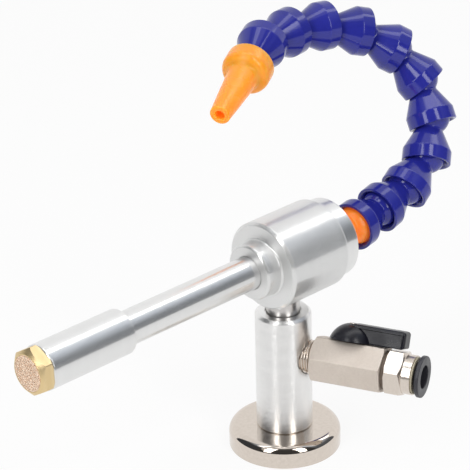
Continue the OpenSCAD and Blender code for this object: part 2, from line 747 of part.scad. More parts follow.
// Release ring: sleeve and bevelled flange
module release_ring() color("dimgray") on_valve_axis() {
    r = release_d / 2;
    turned([[socket_bore / 2, release_sleeve_back], [release_sleeve_d / 2, release_sleeve_back],
            [release_sleeve_d / 2, release_back], [r - edge, release_back], [r, release_back + edge],
            [r, release_front - edge], [r - edge, release_front], [socket_bore / 2 + edge, release_front],
            [socket_bore / 2, release_front - edge]]);
}

magnet_cup();
ring_magnet();
base_screw();
column();
generator_housing();
swirl_generator();
rear_cap();
cap_o_ring();
hot_tube();
muffler_sleeve();
control_cone();
silencer_body();
silencer_disc();
hose_adaptor();
hose_link(0);  // hose_link_01
hose_link(1);  // hose_link_02
hose_link(2);  // hose_link_03
hose_link(3);  // hose_link_04
hose_link(4);  // hose_link_05
hose_link(5);  // hose_link_06
hose_link(6);  // hose_link_07
hose_link(7);  // hose_link_08
hose_link(8);  // hose_link_09
hose_link(9);  // hose_link_10
hose_link(10);  // hose_link_11
nozzle();
valve_body();
valve_retainer();
valve_ball();
seat_inner();
seat_outer();
valve_stem();
stem_o_ring();
lever();
lever_screw();
fitting_washer();
fitting_body();
tube_seal();
lock_claw();
fitting_guide();
release_ring();
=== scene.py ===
# %% [markdown]
# # A vortex tube on a magnet base
# The real thing cools a tool or a workpiece with nothing but compressed air. Air enters at the side valve,
# spins in the drum, leaves hot through the thin tube and cold through the blue hose. The packed CAD model
# is the frame: it fixes every size and every joint. This lesson dresses it, piece by piece, with cleaner
# meshes and real finishes.

# %% Load the frame
import json
import math
import random

import bmesh
import bpy
from mathutils import Matrix, Vector


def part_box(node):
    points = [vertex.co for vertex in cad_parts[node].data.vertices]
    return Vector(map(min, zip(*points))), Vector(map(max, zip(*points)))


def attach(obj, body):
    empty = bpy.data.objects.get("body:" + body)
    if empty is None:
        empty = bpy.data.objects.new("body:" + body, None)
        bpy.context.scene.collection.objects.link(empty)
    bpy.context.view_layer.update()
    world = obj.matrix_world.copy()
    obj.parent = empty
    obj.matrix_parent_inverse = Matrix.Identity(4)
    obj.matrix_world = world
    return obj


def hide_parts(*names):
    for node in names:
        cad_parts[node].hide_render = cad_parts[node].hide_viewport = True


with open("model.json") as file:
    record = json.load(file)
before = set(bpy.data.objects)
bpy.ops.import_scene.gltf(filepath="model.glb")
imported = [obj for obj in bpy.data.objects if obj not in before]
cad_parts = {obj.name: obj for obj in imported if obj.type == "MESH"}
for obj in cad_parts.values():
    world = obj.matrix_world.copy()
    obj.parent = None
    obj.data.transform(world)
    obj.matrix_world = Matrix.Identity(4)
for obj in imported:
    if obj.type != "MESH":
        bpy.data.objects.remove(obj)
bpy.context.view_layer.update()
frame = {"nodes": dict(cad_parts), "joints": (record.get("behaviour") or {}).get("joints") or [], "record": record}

MM = 0.001
joints = {joint["name"]: joint for joint in frame["joints"]}
mounts = {mount["name"]: mount for mount in frame["record"]["mounts"]}
body_of_node = {n: b for b, nodes in frame["record"]["behaviour"]["bodies"].items() for n in nodes}
print("nodes:", len(frame["nodes"]), "joints:", len(joints))

# %% [markdown]
# ## Local frames
# A turned piece is easiest to draw as an outline of radius against height about its own axis. The object
# has five kinds of axis: the column, the vortex tube, the inlet valve, the valve's stem and each link of
# the hose. All of them are read from the frame, so a piece can't drift away from the joint or the mount
# that it belongs to.

# %% Local frames from the joints and mounts


def local_frame(origin, along, across):
    """Matrix whose local z runs along one direction, with local x on the side of another."""
    z = Vector(along).normalized()
    y = z.cross(Vector(across)).normalized()
    turn = Matrix((y.cross(z), y, z)).transposed().to_4x4()
    return Matrix.Translation(origin) @ turn


def middle(node):
    low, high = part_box(node)
    return (low + high) / 2


socket_pos = Vector(mounts["tube_socket"]["pos_m"])
valve_dir = Vector(mounts["tube_socket"]["axis"])
stem_dir = -Vector(joints["lever_turn"]["axis"])
column_frame = Matrix.Identity(4)
tube_frame = local_frame((0, 0, middle("hot_tube").z), (1, 0, 0), (0, 0, -1))
valve_frame = local_frame((0, 0, socket_pos.z), valve_dir, stem_dir)
stem_frame = local_frame(joints["lever_turn"]["pos_m"], stem_dir, valve_dir)

link_nodes = sorted(n for n in frame["nodes"] if n.startswith("hose_link_"))
hose_nodes = link_nodes + ["nozzle"]
hose_points = [Vector(joints[f"{n}_bend"]["pos_m"]) for n in hose_nodes]
nozzle_points = [v.co for v in frame["nodes"]["nozzle"].data.vertices]
hose_points.append(sum(nozzle_points, Vector()) / len(nozzle_points))
hose_frames = {
    node: local_frame(start, end - start, (0, 0, 1))
    for node, start, end in zip(hose_nodes, hose_points, hose_points[1:])
}


def reach(node, place):
    """Lowest and highest point of a CAD node along a frame's axis, and its largest radius, in millimetres."""
    points = [place.inverted() @ v.co for v in frame["nodes"][node].data.vertices]
    heights = [p.z / MM for p in points]
    return min(heights), max(heights), max(p.xy.length for p in points) / MM


first_reach = reach("hose_link_01", hose_frames["hose_link_01"])
print("hose links:", len(link_nodes), "first link:", [round(x, 2) for x in first_reach])

# %% [markdown]
# ## Camera
# The photograph was taken from the hot end's side, from a little above, with a long lens. The angles below
# place the camera, and the aim point says where the column's middle lies in a picture of 470 by 470 pixels.

# %% Camera
PICTURE = 470
camera_azimuth = math.radians(-43.55)
camera_elevation = math.radians(25.65)
camera_roll = math.radians(-1.39)
camera_distance = 0.880
focal_pixels = 2493
aim_point = Vector((0, 0, 0.040))
aim_pixel = (283.5, 342.3)

to_camera = Vector((
    math.sin(camera_azimuth) * math.cos(camera_elevation),
    -math.cos(camera_azimuth) * math.cos(camera_elevation),
    math.sin(camera_elevation),
))
level_right = Vector((math.cos(camera_azimuth), math.sin(camera_azimuth), 0))
level_up = to_camera.cross(level_right)
right = math.cos(camera_roll) * level_right + math.sin(camera_roll) * level_up
up = math.cos(camera_roll) * level_up - math.sin(camera_roll) * level_right
pixel = camera_distance / focal_pixels

camera_data = bpy.data.cameras.new("camera")
camera_data.sensor_width = 36
camera_data.lens = focal_pixels / PICTURE * camera_data.sensor_width
camera = bpy.data.objects.new("camera", camera_data)
bpy.context.scene.collection.objects.link(camera)
eye = aim_point + to_camera * camera_distance
eye -= right * (aim_pixel[0] - PICTURE / 2) * pixel
eye += up * (aim_pixel[1] - PICTURE / 2) * pixel
camera.matrix_world = Matrix.Translation(eye) @ Matrix((right, up, to_camera)).transposed().to_4x4()
bpy.context.scene.camera = camera
bpy.context.scene.view_settings.view_transform = "Standard"
print("camera at", [round(x, 3) for x in eye], "lens", round(camera_data.lens, 1), "mm")

# %% [markdown]
# ## Node helpers
# Each material is a short list of nodes and wires. Three small helpers keep those lists readable: one adds
# a node and sets its values, one does a sum, and the last makes a node group with named sockets.

# %% Node helpers


def add_node(tree, kind, sockets=None, **settings):
    """A new node, with its settings, and with its input sockets set or wired."""
    node = tree.nodes.new(kind)
    for name, value in settings.items():
        setattr(node, name, value)
    for name, value in (sockets or {}).items():
        if isinstance(value, bpy.types.NodeSocket):
            tree.links.new(value, node.inputs[name])
        else:
            node.inputs[name].default_value = value
    return node


def maths(tree, operation, first, second):
    """The outcome of a sum on two numbers, either of which may come from a socket."""
    return add_node(tree, "ShaderNodeMath", {0: first, 1: second}, operation=operation).outputs[0]


def new_group(name, inputs, outputs):
    """A shader node group with its sockets, and its two end nodes."""
    tree = bpy.data.node_groups.new(name, "ShaderNodeTree")
    for label, (kind, value) in inputs.items():
        socket = tree.interface.new_socket(label, in_out="INPUT", socket_type=kind)
        if value is not None:
            socket.default_value = value
    for label, kind in outputs.items():
        tree.interface.new_socket(label, in_out="OUTPUT", socket_type=kind)
    return tree, tree.nodes.new("NodeGroupInput").outputs, tree.nodes.new("NodeGroupOutput").inputs


# %% [markdown]
# ## Shared surface effects
# Three effects come back in several finishes. Lathe marks are fine rings round a turned part. They are
# finer than a pixel, so the group leans the surface's normal to and fro along the part's axis, and that
# draws every reflection out into streaks, as on a real turned bar. Its groove value says which lines are
# cut deep and look dull, and its band value is the slow change of tone along the bar. Cloud is the faint
# unevenness that any handled surface has. Grain is a fine pebbly height, as on blasted nickel or moulded
# plastic. Each is a group, placed in every material that needs it with its own values.

# %% Lathe marks group
lathe_marks, given, result = new_group(
    "lathe_marks",
    {"Vector": ("NodeSocketVector", None), "Axis": ("NodeSocketVector", (0, 0, 1)),
     "Lines per mm": ("NodeSocketFloat", 60.0), "Tilt": ("NodeSocketFloat", 1.0)},
    {"Normal": "NodeSocketVector", "Band": "NodeSocketFloat", "Groove": "NodeSocketFloat"},
)


def axial_noise(position, scale, detail):
    """A value that changes only along the part's axis."""
    sockets = {"W": position, "Scale": scale, "Detail": detail}
    return add_node(lathe_marks, "ShaderNodeTexNoise", sockets, noise_dimensions="1D").outputs["Fac"]


def vectors(operation, sockets):
    return add_node(lathe_marks, "ShaderNodeVectorMath", sockets, operation=operation).outputs


along = vectors("DOT_PRODUCT", {0: given["Vector"], 1: given["Axis"]})["Value"]
in_mm = maths(lathe_marks, "MULTIPLY", along, 1 / MM)
in_lines = maths(lathe_marks, "MULTIPLY", in_mm, given["Lines per mm"])
either_way = maths(lathe_marks, "SUBTRACT", axial_noise(in_lines, 1.0, 0.0), 0.5)
slope = maths(lathe_marks, "MULTIPLY", either_way, given["Tilt"])
lean = vectors("SCALE", {0: given["Axis"], "Scale": slope})[0]
upright = add_node(lathe_marks, "ShaderNodeNewGeometry").outputs["Normal"]
leaning = vectors("ADD", {0: upright, 1: lean})[0]
steep = {"Value": axial_noise(in_lines, 3.0, 0.0), "From Min": 0.45, "From Max": 0.55}
groove = add_node(lathe_marks, "ShaderNodeMapRange", steep).outputs["Result"]
lathe_marks.links.new(vectors("NORMALIZE", {0: leaning})[0], result["Normal"])
lathe_marks.links.new(axial_noise(in_mm, 0.35, 3.0), result["Band"])
lathe_marks.links.new(groove, result["Groove"])
print("group", lathe_marks.name, len(lathe_marks.nodes), "nodes")

# %% Cloud group
cloud, given, result = new_group(
    "cloud",
    {"Vector": ("NodeSocketVector", None), "Scale": ("NodeSocketFloat", 120.0),
     "Low": ("NodeSocketFloat", 0.0), "High": ("NodeSocketFloat", 1.0)},
    {"Value": "NodeSocketFloat"},
)
puffs = add_node(cloud, "ShaderNodeTexNoise",
                 {"Vector": given["Vector"], "Scale": given["Scale"], "Detail": 4.0})
spread = add_node(cloud, "ShaderNodeMapRange",
                  {"Value": puffs.outputs["Fac"], "From Min": 0.3, "From Max": 0.7,
                   "To Min": given["Low"], "To Max": given["High"]})
cloud.links.new(spread.outputs["Result"], result["Value"])
print("group", cloud.name, len(cloud.nodes), "nodes")

# %% Grain group
grain, given, result = new_group(
    "grain",
    {"Vector": ("NodeSocketVector", None), "Size mm": ("NodeSocketFloat", 0.3)},
    {"Height": "NodeSocketFloat"},
)
per_metre = maths(grain, "DIVIDE", 1 / MM, given["Size mm"])
pebbles = add_node(grain, "ShaderNodeTexNoise",
                   {"Vector": given["Vector"], "Scale": per_metre, "Detail": 2.0})
grain.links.new(pebbles.outputs["Fac"], result["Height"])
print("group", grain.name, len(grain.nodes), "nodes")

# %% [markdown]
# ## Finishes
# A finish starts as a new material with its shader and its object coordinates. The colour, the roughness
# and the bump then come from the groups above. Values that are the same all over, such as the index of
# refraction, stay on the shader's own sockets.

# %% Material helpers


def start_material(name, **values):
    """A material with a Principled shader, and its tree and object coordinates."""
    material = bpy.data.materials.new(name)
    material.use_nodes = True
    tree = material.node_tree
    shader = tree.nodes["Principled BSDF"]
    for label, value in values.items():
        shader.inputs[label.replace("_", " ")].default_value = value
    coords = tree.nodes.new("ShaderNodeTexCoord").outputs["Object"]
    return material, tree, shader.inputs, coords


def use_group(tree, group, **sockets):
    """A placed group's outputs."""
    node = add_node(tree, "ShaderNodeGroup", node_tree=group)
    for name, value in sockets.items():
        socket = node.inputs[name.replace("_", " ")]
        if isinstance(value, bpy.types.NodeSocket):
            tree.links.new(value, socket)
        else:
            socket.default_value = value
    return node.outputs


def blend_colours(tree, factor, first, second):
    """A colour between two, by a value that changes over the surface."""
    mix = add_node(tree, "ShaderNodeMix", data_type="RGBA")
    tree.links.new(factor, mix.inputs["Factor"])
    mix.inputs["A"].default_value = (*first, 1)
    mix.inputs["B"].default_value = (*second, 1)
    return mix.outputs["Result"]


def raise_surface(tree, inputs, height, strength, depth_mm):
    """Bump from a height that changes over the surface."""
    settings = {"Height": height, "Strength": strength, "Distance": depth_mm * MM}
    bump = add_node(tree, "ShaderNodeBump", settings)
    tree.links.new(bump.outputs["Normal"], inputs["Normal"])


def wire(tree, inputs, **sources):
    for label, source in sources.items():
        tree.links.new(source, inputs[label.replace("_", " ")])


# %% [markdown]
# Aluminium: the column, neck, drum, cap, tube and sleeve are turned and lightly polished. Rings round the
# axis blur reflections along it, so each material needs to know which way its axis runs. One roughness all
# over would give either a mirror or a blur. Here polished and dull lines lie side by side, finer than a
# pixel, so a reflection keeps its crisp edge under a soft haze. Each piece has its own tone.

# %% Satin aluminium
DARK_BAND = 0.97
LIGHT_BAND = 1.02


def satin_aluminium(name, axis, tilt, polished, dull, tone):
    material, tree, inputs, coords = start_material(name, Metallic=1.0)
    marks = use_group(tree, lathe_marks, Vector=coords, Axis=axis, Tilt=tilt)
    levels = {"Value": marks["Groove"], "To Min": polished, "To Max": dull}
    haze = add_node(tree, "ShaderNodeMapRange", levels).outputs["Result"]
    darker = [DARK_BAND * part for part in tone]
    lighter = [LIGHT_BAND * part for part in tone]
    colour = blend_colours(tree, marks["Band"], darker, lighter)
    wire(tree, inputs, Base_Color=colour, Roughness=haze, Normal=marks["Normal"])
    return material


aluminium_tube = satin_aluminium("satin_aluminium_tube", (1, 0, 0), 0.25, 0.12, 0.46, (0.78, 0.78, 0.775))
aluminium_drum = satin_aluminium("satin_aluminium_drum", (1, 0, 0), 0.3, 0.16, 0.78, (0.77, 0.77, 0.765))
aluminium_column = satin_aluminium("satin_aluminium_column", (0, 0, 1), 1.4, 0.17, 0.38, (0.845, 0.84, 0.83))
aluminium_neck = satin_aluminium("satin_aluminium_neck", (0, 0, 1), 0.3, 0.15, 0.40, (0.62, 0.60, 0.585))
print("aluminium finishes:", 4)

# %% [markdown]
# Nickel plate: the pot, the valve and the fitting are plated in warm grey nickel. The pot is nearly a
# mirror, while the valve's hexagon is drawn bar with a fine grain that makes its faces look satin.

# %% Nickel plate


def nickel_plate(name, roughness, grain_mm, grain_depth_mm, metal=1.0):
    material, tree, inputs, coords = start_material(name, Metallic=metal)
    haze = use_group(tree, cloud, Vector=coords, Scale=90.0, Low=roughness * 0.8, High=roughness * 1.2)
    pebble = use_group(tree, grain, Vector=coords, Size_mm=grain_mm)
    colour = blend_colours(tree, pebble["Height"], (0.63, 0.56, 0.50), (0.72, 0.65, 0.58))
    wire(tree, inputs, Base_Color=colour, Roughness=haze["Value"])
    raise_surface(tree, inputs, pebble["Height"], 0.2, grain_depth_mm)
    return material


nickel_pot = nickel_plate("nickel_pot", 0.07, 1.2, 0.002)
nickel_bar = nickel_plate("nickel_bar", 0.58, 0.8, 0.05, 0.7)
nickel_fitting = nickel_plate("nickel_fitting", 0.22, 0.8, 0.002)
print("nickel finishes:", 3)

# %% [markdown]
# Brass and sintered bronze: the silencer's hexagon is pale turned brass, a little darker in its rings. Its
# disc is bronze beads fused together, so its colour changes from bead to bead.

# %% Brass and bronze
brass, tree, inputs, coords = start_material("turned_brass", Metallic=1.0)
rings = use_group(tree, lathe_marks, Vector=coords, Axis=(1, 0, 0), Tilt=0.5)
haze = use_group(tree, cloud, Vector=coords, Scale=150.0, Low=0.36, High=0.48)
wire(tree, inputs, Base_Color=blend_colours(tree, rings["Band"], (0.72, 0.54, 0.27), (0.82, 0.66, 0.40)),
     Roughness=haze["Value"], Normal=rings["Normal"])

bronze, tree, inputs, coords = start_material("sintered_bronze", Metallic=0.8)
tone = use_group(tree, cloud, Vector=coords, Scale=1400.0, Low=0.0, High=1.0)
pits = use_group(tree, grain, Vector=coords, Size_mm=0.25)
wire(tree, inputs, Base_Color=blend_colours(tree, tone["Value"], (0.78, 0.54, 0.38), (1.0, 0.85, 0.70)))
inputs["Roughness"].default_value = 0.45
raise_surface(tree, inputs, pits["Height"], 0.4, 0.05)
print("brass and bronze:", brass.name, bronze.name)

# %% [markdown]
# Plastics: the hose links are glossy moulded acetal, the adaptor and nozzle the same in orange, the lever
# glossy black nylon. A faint cloud in the roughness and a very shallow grain keep them from looking like
# glass. The orange is a little translucent: light enters it and comes out again, which subsurface
# scattering gives. On top of that a faint painted glow, an emission of the plastic's own, lifts the orange
# parts all over, their shaded sides too, in place of the light that passes through the thin walls.

# %% Moulded plastics


def moulded_plastic(name, first, second, roughness, grain_mm=0.8, depth_mm=0.004, glow=None, shine=0.5):
    material, tree, inputs, coords = start_material(name, IOR=1.48, Specular_IOR_Level=shine)
    patch = use_group(tree, cloud, Vector=coords, Scale=70.0, Low=0.0, High=1.0)
    gloss = use_group(tree, cloud, Vector=coords, Scale=160.0, Low=roughness * 0.8, High=roughness * 1.25)
    pebble = use_group(tree, grain, Vector=coords, Size_mm=grain_mm)
    colour = blend_colours(tree, patch["Value"], first, second)
    wire(tree, inputs, Base_Color=colour, Roughness=gloss["Value"])
    raise_surface(tree, inputs, pebble["Height"], 0.25, depth_mm)
    # painted glow: this emission brightens the orange parts evenly, shade included, though they are no lamps
    if glow:
        inputs["Subsurface Weight"].default_value = 0.8
        inputs["Subsurface Scale"].default_value = 8 * MM
        inputs["Subsurface Radius"].default_value = (1.0, 0.40, 0.1)
        inputs["Emission Color"].default_value = (*glow, 1)
        inputs["Emission Strength"].default_value = 0.2
    return material


blue_plastic = moulded_plastic("blue_acetal", (0.016, 0.020, 0.24), (0.022, 0.026, 0.285), 0.11)
orange_plastic = moulded_plastic("orange_acetal", (0.98, 0.31, 0.016), (1.0, 0.34, 0.024), 0.26,
                                 glow=(1.0, 0.24, 0.015))
adaptor_plastic = moulded_plastic("orange_adaptor", (0.98, 0.26, 0.022), (1.0, 0.29, 0.030), 0.26,
                                  glow=(1.0, 0.20, 0.030))
black_plastic = moulded_plastic("black_nylon", (0.004, 0.004, 0.008), (0.008, 0.008, 0.015), 0.30, shine=0.42)
grey_plastic = moulded_plastic("grey_acetal", (0.024, 0.024, 0.030), (0.034, 0.034, 0.042), 0.36, 0.4, 0.012)
olive_plastic = moulded_plastic("olive_acetal", (0.34, 0.30, 0.21), (0.42, 0.38, 0.28), 0.40)
white_plastic = moulded_plastic("white_seat", (0.80, 0.80, 0.76), (0.86, 0.86, 0.83), 0.42)
brown_plastic = moulded_plastic("brown_swirl", (0.20, 0.11, 0.06), (0.26, 0.15, 0.08), 0.45)
fibre = moulded_plastic("fibre_washer", (0.10, 0.075, 0.055), (0.17, 0.13, 0.10), 0.60, 0.3, 0.03)
rubber = moulded_plastic("nitrile_rubber", (0.008, 0.008, 0.008), (0.016, 0.016, 0.016), 0.55, 0.3, 0.02)
ferrite = moulded_plastic("ferrite_magnet", (0.030, 0.030, 0.032), (0.055, 0.055, 0.058), 0.62, 0.25, 0.04)
steel = nickel_plate("bright_steel", 0.22, 0.5, 0.004)
print("plastics and others:", 12)

# %% [markdown]
# ## Mesh helpers
# Most pieces come off a lathe, so most meshes are an outline spun about an axis. A second helper rounds the
# sharp edges a little, because a real edge always catches the light. The next gives the mesh its place, its
# material and its body, and hides the CAD node that it stands for. It first drops edges without length,
# which overlapping bevels leave behind. The last one joins or cuts two meshes by a Boolean.

# %% Mesh helpers
SPIN_STEPS = 128
WELD = 0.001 * MM
TINY = 0.002 * MM


def arc(centre, radius, start, end, count=12):
    """Points of an arc about a centre in the outline, in millimetres and degrees."""
    angles = [math.radians(start + (end - start) * i / count) for i in range(count + 1)]
    return [(centre[0] + radius * math.cos(a), centre[1] + radius * math.sin(a)) for a in angles]


def turned(outline, steps=SPIN_STEPS):
    """A bmesh spun about local z from points of radius and height. An outline off the axis is closed."""
    bm = bmesh.new()
    verts = [bm.verts.new((r * MM, 0, z * MM)) for r, z in outline]
    pairs = list(zip(verts, verts[1:]))
    if outline[0][0] > 0 and outline[-1][0] > 0:
        pairs.append((verts[-1], verts[0]))
    edges = [bm.edges.new(pair) for pair in pairs]
    bmesh.ops.spin(bm, geom=verts + edges, cent=(0, 0, 0), axis=(0, 0, 1), angle=math.tau, steps=steps,
                   use_merge=True)
    bmesh.ops.remove_doubles(bm, verts=bm.verts, dist=WELD)
    bmesh.ops.recalc_face_normals(bm, faces=bm.faces)
    return bm


def soften(bm, width_mm, sharp=25, segments=2, where=None):
    """Rounds the edges that turn by more than an angle, all of them or those that a test picks."""
    limit = math.radians(sharp)
    edges = [e for e in bm.edges if len(e.link_faces) == 2 and e.calc_face_angle() > limit]
    if where:
        edges = [e for e in edges if where(e)]
    bmesh.ops.bevel(bm, geom=edges, offset=width_mm * MM, offset_type="OFFSET", segments=segments,
                    profile=0.5, affect="EDGES", clamp_overlap=True, material=-1)
    return bm


def finish_piece(name, bm, place, material, slot, *nodes, body=None, smooth=40):
    """Puts a mesh in its place and on its body. It stands for the CAD nodes named."""
    bmesh.ops.remove_doubles(bm, verts=bm.verts, dist=TINY)
    bmesh.ops.dissolve_degenerate(bm, edges=bm.edges, dist=TINY)
    bm.transform(place)
    mesh = bpy.data.meshes.new(name)
    bm.to_mesh(mesh)
    bm.free()
    mesh.shade_smooth()
    mesh.set_sharp_from_angle(angle=math.radians(smooth))
    mesh.materials.append(material)
    obj = bpy.data.objects.new(name, mesh)
    bpy.context.scene.collection.objects.link(obj)
    shading = obj.modifiers.new("flat faces stay flat", "WEIGHTED_NORMAL")
    shading.keep_sharp = True
    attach(obj, body or body_of_node[nodes[0]])
    if nodes:
        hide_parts(*nodes)
    print(f"{name}: {len(mesh.polygons)} faces")
    return obj


def combine(first, second, operation):
    """One bmesh from two by a Boolean modifier, which is applied at once."""
    pair = []
    for bm in (first, second):
        mesh = bpy.data.meshes.new("shape")
        bm.to_mesh(mesh)
        bm.free()
        obj = bpy.data.objects.new("shape", mesh)
        bpy.context.scene.collection.objects.link(obj)
        pair.append(obj)
    cut = pair[0].modifiers.new("cut", "BOOLEAN")
    cut.operation = operation
    cut.solver = "EXACT"
    cut.object = pair[1]
    made = bmesh.new()
    made.from_object(pair[0], bpy.context.evaluated_depsgraph_get())
    for obj in pair:
        mesh = obj.data
        bpy.data.objects.remove(obj)
        bpy.data.meshes.remove(mesh)
    return made


# %% [markdown]
# ## Magnet base
# The base is a steel pot with a large rounded edge, plated bright. A wide bevel with many segments gives
# the round edge that mirrors the studio, and a narrow one breaks the rim below. The ring magnet and the
# screw underneath keep their CAD shapes.

# %% Magnet base
pot_low, pot_top, pot_r = reach("magnet_cup", column_frame)
pot_wall = 3.0
pot_roof = 2.8
pot_round = 3.2
screw_hole_r = 3.05
pot_floor = pot_top - pot_roof
pot = turned([(screw_hole_r, pot_floor), (pot_r - pot_wall, pot_floor), (pot_r - pot_wall, pot_low),
              (pot_r, pot_low), (pot_r, pot_top), (screw_hole_r, pot_top)])


def on_pot_shoulder(edge):
    return all(v.co.z > (pot_top - 0.1) * MM and v.co.xy.length > (pot_r - 0.1) * MM for v in edge.verts)


soften(pot, pot_round, segments=10, where=on_pot_shoulder)
soften(pot, 0.35, where=lambda e: all(v.co.z < 0.1 * MM for v in e.verts))
finish_piece("pot_shell", pot, column_frame, nickel_pot, "nickel_steel", "magnet_cup")
print("pot radius", round(pot_r, 2), "height", round(pot_top, 2))

# %% [markdown]
# ## Column
# A plain turned bar with a chamfered top and foot, and a thinner neck that screws into the drum. The neck
# is a piece of its own that stands in a recess of the bar, because the real one shows a dark ring round a
# darker neck. The valve's thread enters a hole in the bar's side. Spinning gives the bar, and a Boolean
# with a short cylinder opens the hole.

# %% Column
column_low, neck_top, column_r = reach("column", column_frame)
column_top = 53.0
column_chamfer = 1.0
neck_r = 6.0
neck_chamfer = 0.4
neck_gap = 0.45
neck_foot = column_top - 1.0
foot_chamfer = 0.4
port_r = 6.25
port_bottom = 3.9
column = turned([(0, column_low), (column_r - foot_chamfer, column_low),
                 (column_r, column_low + foot_chamfer), (column_r, column_top - column_chamfer),
                 (column_r - column_chamfer, column_top), (neck_r + neck_gap, column_top),
                 (neck_r + neck_gap, neck_foot), (0, neck_foot)])
soften(column, 0.18)
port = turned([(0, port_bottom), (port_r, port_bottom), (port_r, column_r * 2), (0, column_r * 2)])
port.transform(valve_frame)
column = combine(column, port, "DIFFERENCE")
finish_piece("column_bar", column, column_frame, aluminium_column, "aluminium", "column")

neck = turned([(0, neck_foot - 0.5), (neck_r, neck_foot - 0.5), (neck_r, neck_top - neck_chamfer),
               (neck_r - neck_chamfer, neck_top), (0, neck_top)])
finish_piece("column_neck", neck, column_frame, aluminium_neck, "aluminium", body="stand")

# %% [markdown]
# ## Drum, cap, tube and sleeve
# These share the vortex tube's axis. Their outlines repeat the solids, with the edges that catch the light
# in the photograph: a chamfer on the drum's front, a round edge at its back, narrow edges on the boss, the
# cap and the sleeve. A hollow fillet at the boss's foot mirrors light from many sides, so it shows as a
# bright ring.

# %% Drum
drum_front, drum_back, drum_r = reach("generator_housing", tube_frame)
drum_face = -10.0
drum_chamfer = 1.0
back_round = 1.0
boss_fillet = 0.8
boss_r = 10.0
boss_chamfer = 0.7
tube_r = 6.0
tube_gap = 0.05
mouth_chamfer = 0.15
chamber_r = 12.05
chamber_front = -4.0
drum = turned([(tube_r + tube_gap + mouth_chamfer, drum_front), (boss_r - boss_chamfer, drum_front),
               (boss_r, drum_front + boss_chamfer)]
              + arc((boss_r + boss_fillet, drum_face - boss_fillet), boss_fillet, 180, 90, 6)
              + [(drum_r - drum_chamfer, drum_face), (drum_r, drum_face + drum_chamfer)]
              + arc((drum_r - back_round, drum_back - back_round), back_round, 0, 90, 6)
              + [(chamber_r, drum_back), (chamber_r, chamber_front), (tube_r + tube_gap, chamber_front),
                 (tube_r + tube_gap, drum_front + mouth_chamfer)])
soften(drum, 0.22)
finish_piece("drum_shell", drum, tube_frame, aluminium_drum, "aluminium", "generator_housing")

# %% Rear cap
spigot_front, cap_back, cap_r = reach("rear_cap", tube_frame)
spigot_r = 12.0
hose_bore_r = 3.2
cap_thread_r = 6.65
cap_thread_bottom = cap_back - 7.1
cap = turned([(hose_bore_r, spigot_front), (spigot_r, spigot_front), (spigot_r, drum_back),
              (cap_r, drum_back), (cap_r, cap_back), (cap_thread_r, cap_back),
              (cap_thread_r, cap_thread_bottom), (hose_bore_r, cap_thread_bottom)])
soften(cap, 0.45, segments=3)
finish_piece("cap_disc", cap, tube_frame, aluminium_tube, "aluminium", "rear_cap")

# %% Hot tube and sleeve
tube_front, tube_back, tube_r = reach("hot_tube", tube_frame)
tube_bore_r = 4.75
tube = turned([(tube_bore_r, tube_front), (tube_r, tube_front), (tube_r, tube_back),
               (tube_bore_r, tube_back)])
soften(tube, 0.15)
finish_piece("tube_pipe", tube, tube_frame, aluminium_tube, "aluminium", "hot_tube")

sleeve_front, sleeve_back, sleeve_r = reach("muffler_sleeve", tube_frame)
sleeve_chamfer = 0.5
sleeve_thread_r = 6.5
seat_front = tube_front - 1.5
sleeve = turned([(tube_r + tube_gap, sleeve_back), (sleeve_r - sleeve_chamfer, sleeve_back),
                 (sleeve_r, sleeve_back - sleeve_chamfer), (sleeve_r, sleeve_front + sleeve_chamfer),
                 (sleeve_r - sleeve_chamfer, sleeve_front), (sleeve_thread_r, sleeve_front),
                 (sleeve_thread_r, seat_front), (tube_bore_r, seat_front), (tube_bore_r, tube_front),
                 (tube_r + tube_gap, tube_front)])
soften(sleeve, 0.18)
finish_piece("sleeve_pipe", sleeve, tube_frame, aluminium_tube, "aluminium", "muffler_sleeve")

# %% [markdown]
# ## Hexagons
# A hexagon bar is chamfered on the lathe, so a cone cuts its corners and leaves curved scallops on the
# flats. The quickest true way is the machinist's: a hexagon prism, intersected with a turned double cone.
# Each end has its own land, which is how far inside the flats the cone starts. A land below zero only takes
# the corners.

# %% Hexagon helper


def hexagon(across_flats, low, high, turn=0, corner=0.3, low_land=0.4, high_land=0.4, chamfer=30):
    """A chamfered hexagon bar with a flat towards local x, in millimetres and degrees."""
    corner_r = across_flats / 2 / math.cos(math.radians(30))
    bar = bmesh.new()
    start = Matrix.Translation((0, 0, low * MM)) @ Matrix.Rotation(math.radians(turn), 4, "Z")
    bmesh.ops.create_circle(bar, cap_ends=True, segments=6, radius=corner_r * MM, matrix=start)
    side = bmesh.ops.extrude_face_region(bar, geom=bar.faces[:])
    risen = [v for v in side["geom"] if isinstance(v, bmesh.types.BMVert)]
    bmesh.ops.translate(bar, verts=risen, vec=(0, 0, (high - low) * MM))
    bmesh.ops.recalc_face_normals(bar, faces=bar.faces)
    soften(bar, corner, segments=3, where=lambda e: abs(e.verts[0].co.z - e.verts[1].co.z) > MM)
    low_r = across_flats / 2 - low_land
    high_r = across_flats / 2 - high_land
    clear_r = corner_r + 0.1
    slope = math.tan(math.radians(chamfer))
    low_end = low + (clear_r - low_r) * slope
    high_end = high - (clear_r - high_r) * slope
    cones = turned([(0, low), (low_r, low), (clear_r, low_end), (clear_r, high_end), (high_r, high),
                    (0, high)])
    return combine(bar, cones, "INTERSECT")


print("hexagon helper:", hexagon.__doc__)

# %% [markdown]
# ## Silencer
# The brass hexagon screws into the sleeve and holds a disc of sintered bronze. The disc is what fused beads
# look like: a plate with a few hundred small beads set in it, each a little out of line. The places come
# from a seeded random draw, so every run gives the same disc.

